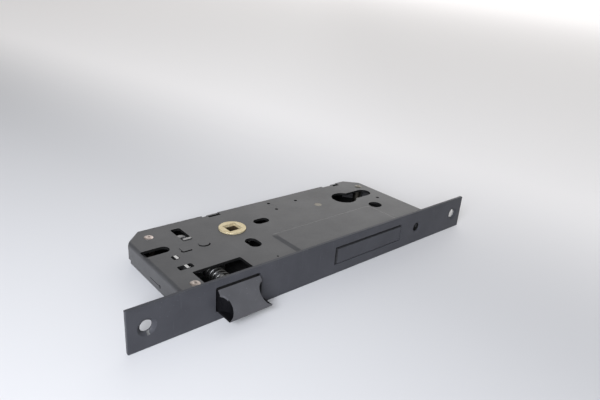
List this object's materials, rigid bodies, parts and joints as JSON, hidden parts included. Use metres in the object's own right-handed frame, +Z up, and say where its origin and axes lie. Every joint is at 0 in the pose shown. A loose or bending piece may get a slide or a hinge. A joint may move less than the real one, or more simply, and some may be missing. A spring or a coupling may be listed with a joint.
{
  "type": "mortise lock case",
  "caption": "Sash mortise lock case for a profile cylinder, with forend, bevelled latch, deadbolt drawn in, brass follower and riveted sheet-steel case.",
  "frame": {"origin": "on the forend's front face, midway between its two screw holes", "axes": "+X along the forend from the latch end to the deadbolt end, +Y into the door, +Z up with the lock lying on its side"},
  "size_m": [0.245, 0.0853, 0.022],
  "materials": {
    "black_coat": "matt black powder coat",
    "black_forend": "matt black coat over satin steel",
    "zinc": "bright zinc plate",
    "spring_steel": "drawn wire",
    "brass": "cast and machined brass",
    "rivet_plate": "copper-tinted zinc plate",
    "black_nylon": "moulded nylon"
  },
  "bodies": {
    "case": {"forend": "black_forend", "case_body": "black_coat", "case_cover": "black_coat", "corner_rivets": "rivet_plate", "stem_bracket": "zinc", "spring_stop_post": "zinc", "tail_guide_posts": "zinc", "change_lever_post": "black_coat", "throw_lever_post": "rivet_plate", "detent_spring": "spring_steel"},
    "latch": {"latch_head": "black_forend", "latch_insert": "black_nylon", "latch_stem": "zinc", "latch_washer": "zinc", "latch_tail": "zinc", "latch_spring": "spring_steel"},
    "follower": {"follower_hub": "brass", "follower_arm": "zinc", "follower_spring": "spring_steel"},
    "change_lever": {"change_lever": "zinc"},
    "deadbolt": {"deadbolt_head": "black_forend", "deadbolt_rivets": "zinc", "deadbolt_tail": "zinc"},
    "throw_lever": {"throw_lever": "zinc", "throw_lever_pin": "zinc"}
  },
  "joints": [
    {"name": "follower_turn", "type": "hinge", "parent": "case", "child": "follower", "pos_m": [-0.0375, 0.05, 0], "axis": [0, 0, -1], "range_deg": [0, 38], "stiffness_Nm_per_rad": 0.6, "springref_deg": -34.38, "deforming": ["follower_spring"]},
    {"name": "latch_slide", "type": "slide", "parent": "case", "child": "latch", "axis": [0, 1, 0], "range_m": [0, 0.011], "stiffness_N_per_m": 300, "springref_m": -0.02, "deforming": ["latch_spring"]},
    {"name": "change_lever_turn", "type": "hinge", "parent": "case", "child": "change_lever", "pos_m": [0.0025, 0.0637, 0], "axis": [0, 0, -1], "range_deg": [0, 9.2]},
    {"name": "deadbolt_slide", "type": "slide", "parent": "case", "child": "deadbolt", "axis": [0, -1, 0], "range_m": [0, 0.02], "deforming": ["detent_spring"]},
    {"name": "throw_lever_turn", "type": "hinge", "parent": "case", "child": "throw_lever", "pos_m": [0.0305, 0.0504, 0], "axis": [0, 0, 1], "range_deg": [0, 70.1]}
  ],
  "couplings": [
    {"joint": "follower_turn", "follows": "latch_slide", "rad_per_m": 60.293},
    {"joint": "change_lever_turn", "follows": "latch_slide", "rad_per_m": 14.597},
    {"joint": "throw_lever_turn", "follows": "deadbolt_slide", "rad_per_m": 61.087}
  ]
}
